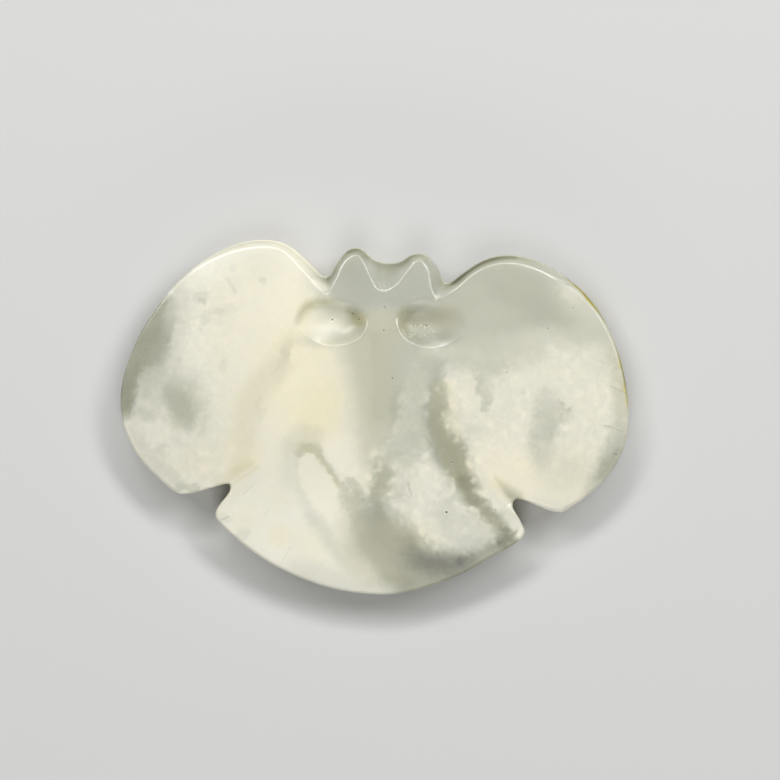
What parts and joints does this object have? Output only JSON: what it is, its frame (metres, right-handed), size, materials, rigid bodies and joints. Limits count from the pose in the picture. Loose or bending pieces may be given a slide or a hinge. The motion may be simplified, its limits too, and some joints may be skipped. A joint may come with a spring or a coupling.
{
  "type": "carved jade plaque figure",
  "caption": "Flat-backed jade carving of a winged creature spread wide: small eared head, broad rounded wings and a fan tail, with oval hollows beside the body.",
  "frame": {"origin": "under the middle of the piece, on the flat of its back", "axes": "+X from the wing on the viewer's left to the wing on the viewer's right as the carved face is looked at, +Y from the tail to the head, +Z out of the carved face"},
  "size_m": [0.072, 0.0502, 0.0084],
  "materials": {
    "jade": "polished translucent nephrite, cream with grey-green clouds"
  },
  "bodies": {
    "root": {"jade_figure": "jade"}
  },
  "joints": []
}
